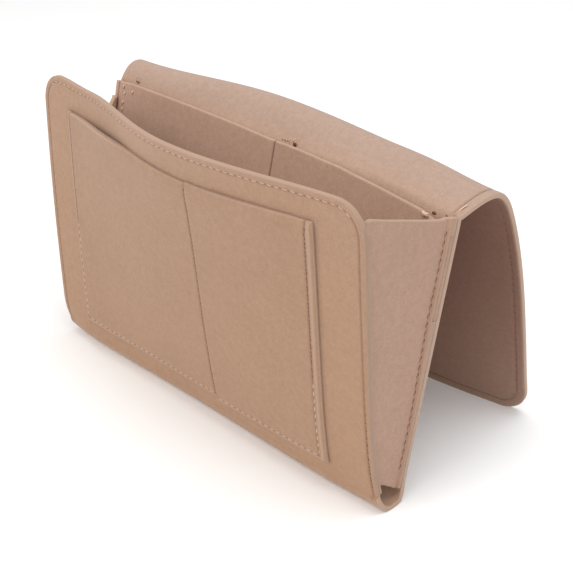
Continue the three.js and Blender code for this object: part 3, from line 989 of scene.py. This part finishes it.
def stitch_run(name, points, normals, sink, faint):
    """Threads and needle holes along a line on a felt face. sink is how deep they lie.

    Faint ones are drawn tight, so that the holes show more than the threads, and their threads
    take a darker copy of the thread that paints shade.
    """
    bite = 2.4 if faint else 1.2
    steps = np.linalg.norm(np.diff(points, axis=0), axis=1)
    total = steps.sum()
    count = int(total / STITCH)
    spare = (total - count * STITCH) / 2
    threads, holes = [], []
    for k in range(count):
        jitter = rng.uniform(-0.25, 0.25, 2)
        a = spare + k * STITCH + bite / 2 + jitter[0]
        b = spare + (k + 1) * STITCH - bite / 2 + jitter[1]
        v = np.linspace(0, 1, 7)
        p = resampled(points, points, a + (b - a) * v)
        n = unit(resampled(points, normals, a + (b - a) * v))
        way = p[-1] - p[0]
        slant = np.cross(unit(way), n[3]) * 0.22
        rise = 0.75 * np.sin(np.pi * v) ** 0.55 - 0.62 - sink - 0.1 * faint
        line = p + n * rise[:, None] + slant * (v[:, None] - 0.5) * 2
        threads.append(tube(line, n, THREAD * np.array([0.7, 0.9, 1, 1, 1, 0.9, 0.7])))
        for end in (0, -1):
            centre = line[end] - n[end] * (rise[end] + (0.0 if faint else 0.1))
            holes.append(hole(centre, n[end], way, 1.2 if faint else 0.6, 0.45))
    return [
        thread_piece(name + "_threads", joined(threads), "thread_in_shade" if faint else "thread"),
        thread_piece(name + "_holes", joined(holes), "hole"),
    ]


def hole(centre, normal, way, long, wide):
    """A small dimple, longer along the seam, dark by its material, which paints the shade in it.
    long and wide are its half sizes.
    """
    u = unit(way)
    w = unit(np.cross(normal, u))
    angles = np.linspace(0, 2 * np.pi, 9)[:-1]
    rim = centre + np.cos(angles)[:, None] * u * long + np.sin(angles)[:, None] * w * wide
    verts = np.concatenate([rim, rim * 0 + (centre + normal * 0.1)[None, :]])[:9]
    faces = [(i, (i + 1) % 8, 8) for i in range(8)] + [tuple(range(8))[::-1]]
    return verts, faces


def thread_piece(name, shape, material):
    piece = mesh_piece(name, row(shape[0]), shape[1])
    piece.data.materials.append(MATERIALS[material])
    return piece


def rounded_end(at, radius, inset, turns, steps):
    """A seam round both corners of a sheet's end: its x, and its distance from the end."""
    turn, inner = np.linspace(0, np.pi / 2, turns), at - radius
    run = np.linspace(-inner, inner, steps)
    x = np.concatenate([-inner - radius * np.cos(turn), run, inner + radius * np.sin(turn)])
    rise = np.concatenate([np.sin(turn), np.ones(steps), np.cos(turn)])
    return x, inset + radius * (1 - rise)


def face_of(surface, x, length, half_felt, e=0.5):
    """Places and normals on the outer (half_felt > 0) or inner face of a surface."""
    du = surface(x + e, length) - surface(x - e, length)
    dv = surface(x, length + e) - surface(x, length - e)
    n = unit(np.cross(du, dv)) * np.sign(half_felt)
    return surface(x, length) + n * abs(half_felt), n


runs = []
FACE = FELT / 2 - 0.4


def sew(tag, points, normals, ride_on, sink=0.1, faint=True):
    """A run of stitches, and the body that it moves with; runs on the flap's end and root are
    baked in place.
    """
    runs.append((stitch_run("seam_" + tag, points, normals, sink, faint), ride_on))


SEAM_X, FRONT_TURN = HALF - WALL_SEAM, 17.0
up = np.linspace(3, FRONT_HEIGHT - WALL_SEAM - FRONT_TURN, 120)
end_x, from_end = rounded_end(SEAM_X, FRONT_TURN, WALL_SEAM, 24, 200)
px = np.concatenate([0 * up - SEAM_X, end_x, 0 * up + SEAM_X])
pl = np.concatenate([up, FRONT_HEIGHT - from_end, up[::-1]])
px = px + WALL_SEAM - front_inset(px, pl)
pl = pl + rim_length(px) - FRONT_HEIGHT
top_part = pl > FRONT_HEIGHT - 10
right_part = (px > 0) & ~top_part
for tag, part in (("left", ~top_part & (px < 0)), ("top", top_part), ("right", right_part)):
    pts, nrm = face_of(front_wall, px[part], pl[part], FACE - 0.45 * (tag == "right"))
    sew("front_" + tag, pts, nrm, "front_wall", 0.0 if tag == "top" else 0.1, tag != "top")
pts, nrm = face_of(front_wall, px[np.abs(px) < 138], pl[np.abs(px) < 138], -FACE)
sew("front_inside", pts, nrm, "front_wall")

side_l = np.linspace(0, 1, 80)
for tag, x_at, a, b, faint in (
    ("left", POCKET_LEFT + LEFT_SEAM, 0.5, 1, True),
    ("left_low", POCKET_LEFT + LEFT_SEAM, 0, 0.5, False),
    ("right", POCKET_RIGHT - RIGHT_SEAM, 0.35, 1, True),
    ("right_low", POCKET_RIGHT - RIGHT_SEAM, 0, 0.35, False),
    ("divider", POCKET_DIVIDER, 0, 1, True),
):
    low, high = pocket_low(x_at + 0.3) + LOW_SEAM, pocket_top(x_at) - 1.5
    places = low + (high - low) * (a + (b - a) * side_l)
    pts, nrm = face_of(pocket_mid, np.full(side_l.shape, x_at), places, FACE - 0.1)
    sew("pocket_" + tag, pts, nrm, "front_wall", faint=faint)
for tag, a, b in (
    ("low_left", POCKET_LEFT + LEFT_SEAM, POCKET_DIVIDER - 0.5),
    ("low_right", POCKET_DIVIDER + 0.5, POCKET_RIGHT - RIGHT_SEAM),
):
    x = np.linspace(a, b, 90)
    pts, nrm = face_of(pocket_mid, x, pocket_low(x) + LOW_SEAM, FACE - 0.1)
    sew("pocket_" + tag, pts, nrm, "front_wall", 0.0, False)

x = np.linspace(INNER_LEFT + 8, INNER_RIGHT - 8, 150)
pts, nrm = face_of(inner_mid, x, np.full(x.shape, INNER_BOTTOM + INNER_SEAM), FACE)
sew("inner_low", pts, nrm, "body")
for tag, x_at in (("left", -SEAM_X), ("right", SEAM_X)):
    x = np.full(side_l.shape, x_at)
    pts, nrm = face_of(back_wall, x, 4 + 164 * side_l, -FACE)
    sew("back_" + tag, pts, nrm, "body")


z = np.linspace(19, 172, 120)
for tag, x_at in (("left", -158.2), ("right", 158.2)):
    place = before_back(np.full(z.shape, x_at), z, 0 * z) + forward * (FELT / 2 - 0.45)
    sew("flange_" + tag, place, np.broadcast_to(forward, place.shape), "body", -0.3)

FLAP_TURN = 14.0


def flap_line():
    """The flap's seam, down its left, along its end and up its right: if it is on the hanging
    end, its x, and its parameter there."""
    at, corner = HALF - FLAP_SEAM, FLAP_SEAM + FLAP_TURN
    down, root = np.linspace(0, 1, 80), np.linspace(0.06, 1, 70)

    def side_of_tail(x_at):
        x = np.full(len(down), x_at)
        return x, share_at(tail, x, (tail_length(x) - corner) * down)

    x, from_end = rounded_end(at, FLAP_TURN, FLAP_SEAM, 20, 160)
    right_x, right_t = side_of_tail(at)
    parts = [
        (np.full(len(root), -at), root),
        side_of_tail(-at),
        (x, share_at(tail, x, tail_length(x) - from_end)),
        (right_x, right_t[::-1]),
        (np.full(len(root), at), root[::-1]),
    ]
    xs, ts = (np.concatenate([part[k] for part in parts]) for k in (0, 1))
    on_tail = np.ones(len(xs), bool)
    on_tail[: len(root)] = on_tail[-len(root) :] = False
    return on_tail, xs, ts


on_tail, fx, ft = flap_line()


def on_flap(x, t):
    return np.where(on_tail[:, None], tail(x, t), crest(x, t))


flap_mid = on_flap(fx, ft)
e = 0.004
du = on_flap(fx + 0.5, ft) - on_flap(fx - 0.5, ft)
dv = on_flap(fx, ft + e) - on_flap(fx, ft - e)
flap_normal = unit(np.cross(du, dv))
on_root = ~on_tail & (ft < 0.5)
keep = np.linalg.norm(np.diff(flap_mid, axis=0), axis=1) > 1e-6
keep = np.concatenate([keep, [True]])
for tag, part in (
    ("root_left", on_root & (fx < 0)), ("end", ~on_root), ("root_right", on_root & (fx > 0))
):
    part = part & keep
    for face, sign in (("outer", -1), ("under", 1)):
        if tag == "root_left" and face == "outer":
            continue
        n = flap_normal[part] * sign
        blended = "end" if tag == "end" else "root"
        sew(f"flap_{tag}_{face}", flap_mid[part] + n * FACE, n, blended)


# Tacks that hold the mouths of the inner pocket, with their knots and larger holes
def dimples(name, surface, places, material):
    """Small ovals on a felt face; places are x, length, half width and half height."""
    shapes = []
    for x, length, wide, high in places:
        at, n = face_of(surface, np.array([x]), np.array([length]), FELT / 2 - 0.06)
        shapes.append(hole(at[0], n[0], np.array([1.0, 0, 0]), wide, high))
    return thread_piece(name, joined(shapes), material)


def strands(name, surface, places):
    """Short arched threads on a felt face, each from one place to another."""
    shapes = []
    for x0, l0, x1, l1, radius in places:
        v = np.linspace(0, 1, 9)
        at, n = face_of(surface, mix(x0, x1, v), mix(l0, l1, v), FELT / 2)
        line = at + n * (0.9 * np.sin(np.pi * v) ** 0.6 - 0.3)[:, None]
        shapes.append(tube(line, n, radius * np.array([0.6, 0.8, 1, 1, 1, 1, 1, 0.8, 0.6])))
    return thread_piece(name, joined(shapes), "thread")


LEFT_TACKS = [(-150.1, 177.5), (-148.3, 172.9), (-139.3, 175.5), (-149.1, 166.1), (-149.1, 161.2)]
# The tacks' holes are dark with painted shade; their pressed dimples are darker as pressed felt
# and painted shade.
tacks = [
    dimples("tack_left_press", inner_mid, [(x, l, 1.7, 2.3) for x, l in LEFT_TACKS], "press"),
    strands("tack_left_thread", inner_mid, [(x, l - 1.3, x, l + 1.3, 0.6) for x, l in LEFT_TACKS]),
    dimples("tack_left_hole", back_wall, [(-139.8, 183.4, 2.2, 0.9)], "press"),
    strands("tack_left_loop", back_wall, [(-141.4, 185.6, -140.8, 187.6, 0.3)]),
    dimples(
        "tack_middle_holes", back_wall,
        [(x, length, 0.6, 0.5) for x, length in ((13.5, 179), (16, 179.1), (18.4, 179.2))]
        + [(25, 178.6, 1.7, 1.3)],
        "hole",
    ),
    strands(
        "tack_middle_loops", back_wall,
        [(19.6, 178.6, 21.2, 182, 0.4), (23.2, 179.4, 25, 182.6, 0.4)],
    ),
    dimples(
        "tack_right_holes", back_wall, [(142.4, 167.8, 2.2, 1.3), (151.5, 169, 0.7, 0.6)], "hole"
    ),
    strands(
        "tack_right_knot", inner_mid,
        [(136.8, 167.6, 141.6, 166.0, 1.1), (137.6, 165.8, 141.2, 167.4, 1.1)],
    ),
    strands("tack_right_loop", crest, [(156.2, 0.03, 156.6, 0.12, 0.5)]),
]
for piece in tacks:
    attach(piece, "body")

for run, ride_on in runs:
    for piece in run:
        if ride_on == "end":
            blend(piece)
        elif ride_on == "root":
            blend(piece)
        else:
            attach(piece, ride_on)

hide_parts("front_panel", "bottom_fold")
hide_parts("back_panel", "flap_root")
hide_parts("flap_tail")
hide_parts("front_pocket")
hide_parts("inner_pocket")
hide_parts("gusset_left")
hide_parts("gusset_right")


crest_lengths = lengths_of(crest, main_x)[0][:, -1]

# Floor and backdrop: one pale sweep
floor_mesh = bpy.data.meshes.new("floor")
floor_mesh.from_pydata([(-6, -6, 0), (6, -6, 0), (6, 6, 0), (-6, 6, 0)], [], [(0, 1, 2, 3)])
floor = placed("floor", floor_mesh)
paper, tree, shader = new_material("pale_floor")
put(shader, {"Base Color": (0.93, 0.93, 0.93, 1), "Roughness": 0.9})
put(shader, {"Emission Color": (1, 1, 1, 1), "Emission Strength": 0.1})
floor.data.materials.append(paper)

# Camera: fitted to the photograph's edges
camera_data = bpy.data.cameras.new("camera")
camera_data.lens = 73.2
camera_data.sensor_width = 36
camera_data.clip_start = 0.01
camera = placed("camera", camera_data)
right = (0.69296, 0.72049, -0.02650)
up = (-0.32675, 0.34660, 0.87927)
behind = (0.64271, -0.60064, 0.47560)
place = row([528.6, -424.8, 458.1])
camera.matrix_world = Matrix((*zip(right, up, behind, place), (0, 0, 0, 1)))
scene = bpy.context.scene
scene.camera = camera

# Light: a bright even surround, a large soft key from the front left and above
scene.view_settings.view_transform = "Standard"
world = bpy.data.worlds.new("surround")
scene.world = world
world.use_nodes = True
nodes, links = world.node_tree.nodes, world.node_tree.links
put(nodes["Background"], {"Color": (1, 1, 1, 1)})
direction = nodes.new("ShaderNodeTexCoord")
parts = nodes.new("ShaderNodeSeparateXYZ")
links.new(direction.outputs["Generated"], parts.inputs["Vector"])
to_back = nodes.new("ShaderNodeMapRange")
links.new(parts.outputs["Y"], to_back.inputs["Value"])
put(to_back, {"From Min": -0.6, "From Max": 0.8, "To Min": 0.72, "To Max": 0.42})
links.new(to_back.outputs["Result"], nodes["Background"].inputs["Strength"])


def lamp(name, where, target, size, watts, colour):
    data = bpy.data.lights.new(name, "AREA")
    data.shape, data.size = "DISK", size
    data.energy, data.color = watts, colour
    light = placed(name, data)
    light.location = where
    way = Vector(target) - Vector(where)
    light.rotation_euler = way.to_track_quat("-Z", "Y").to_euler()


lamp("key", (-0.25, -1.7, 1.8), (0, 0, 0.1), 1.2, 15, (1, 0.93, 0.86))
lamp("top", (0.3, 0.1, 1.9), (0, 0, 0.1), 1.4, 21.5, (0.97, 0.985, 1))
